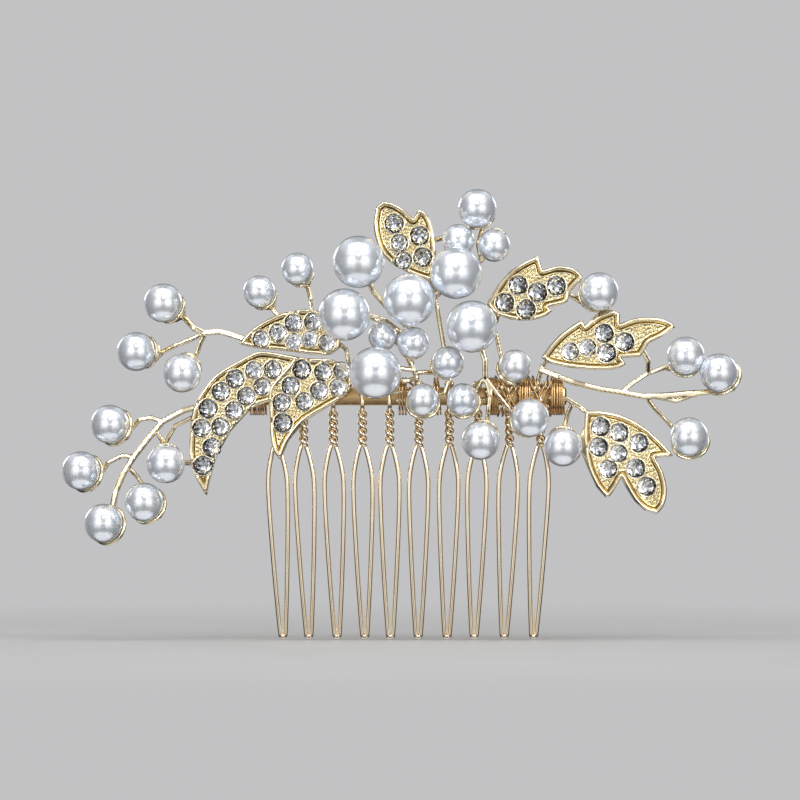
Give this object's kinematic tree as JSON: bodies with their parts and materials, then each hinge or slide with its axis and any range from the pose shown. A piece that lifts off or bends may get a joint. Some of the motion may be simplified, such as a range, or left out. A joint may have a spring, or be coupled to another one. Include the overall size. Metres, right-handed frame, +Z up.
{
  "type": "decorative hair comb",
  "caption": "Decorative hair comb: twisted wire teeth on a flat spine bar, with gold castings of stone-set leaves and sprays of pearls bound across it.",
  "frame": {"origin": "middle of the flat on the back of the spine bar, between the fourth and fifth teeth from the left", "axes": "+X to the right along the bar seen from the decorated face, +Y from the decorated face towards the head, +Z up, away from the teeth"},
  "size_m": [0.1048, 0.0175, 0.0695],
  "materials": {
    "gold_plate": "bright pale gold plate on cast metal",
    "gold_wire": "gold-plated drawn wire",
    "pearl": "white pearl lacquer",
    "crystal": "clear foil-backed cut stone"
  },
  "bodies": {
    "root": {"spine_bar": "gold_plate", "tooth_1": "gold_wire", "tooth_2": "gold_wire", "tooth_3": "gold_wire", "tooth_4": "gold_wire", "tooth_5": "gold_wire", "tooth_6": "gold_wire", "tooth_7": "gold_wire", "tooth_8": "gold_wire", "tooth_9": "gold_wire", "tooth_10": "gold_wire", "binding_wire_left": "gold_wire", "binding_wire_middle": "gold_wire", "binding_wire_right": "gold_wire", "left_twin_leaf_casting": "gold_plate", "upper_left_leaf_casting": "gold_plate", "centre_cluster_casting": "gold_plate", "top_leaf_casting": "gold_plate", "right_upper_leaf_casting": "gold_plate", "right_middle_leaf_casting": "gold_plate", "right_lower_leaf_casting": "gold_plate", "front_sprig_casting": "gold_plate", "twin_leaf_stones": "crystal", "upper_left_leaf_stones": "crystal", "top_leaf_stones": "crystal", "right_upper_leaf_stones": "crystal", "right_middle_leaf_stones": "crystal", "right_lower_leaf_stones": "crystal", "lower_left_pearl_1": "pearl", "lower_left_pearl_2": "pearl", "lower_left_pearl_3": "pearl", "lower_left_pearl_4": "pearl", "lower_left_pearl_5": "pearl", "upper_left_pearl_1": "pearl", "upper_left_pearl_2": "pearl", "upper_left_pearl_3": "pearl", "leaf_pearl_1": "pearl", "leaf_pearl_2": "pearl", "centre_pearl_1": "pearl", "centre_pearl_2": "pearl", "centre_pearl_3": "pearl", "centre_pearl_4": "pearl", "centre_pearl_5": "pearl", "centre_pearl_6": "pearl", "cluster_pearl_1": "pearl", "cluster_pearl_2": "pearl", "cluster_pearl_3": "pearl", "cluster_pearl_4": "pearl", "cluster_pearl_5": "pearl", "cluster_pearl_6": "pearl", "top_pearl_1": "pearl", "top_pearl_2": "pearl", "top_pearl_3": "pearl", "drop_pearl_1": "pearl", "drop_pearl_2": "pearl", "drop_pearl_3": "pearl", "right_pearl_1": "pearl", "right_pearl_2": "pearl", "right_pearl_3": "pearl", "right_pearl_4": "pearl"}
  },
  "joints": []
}
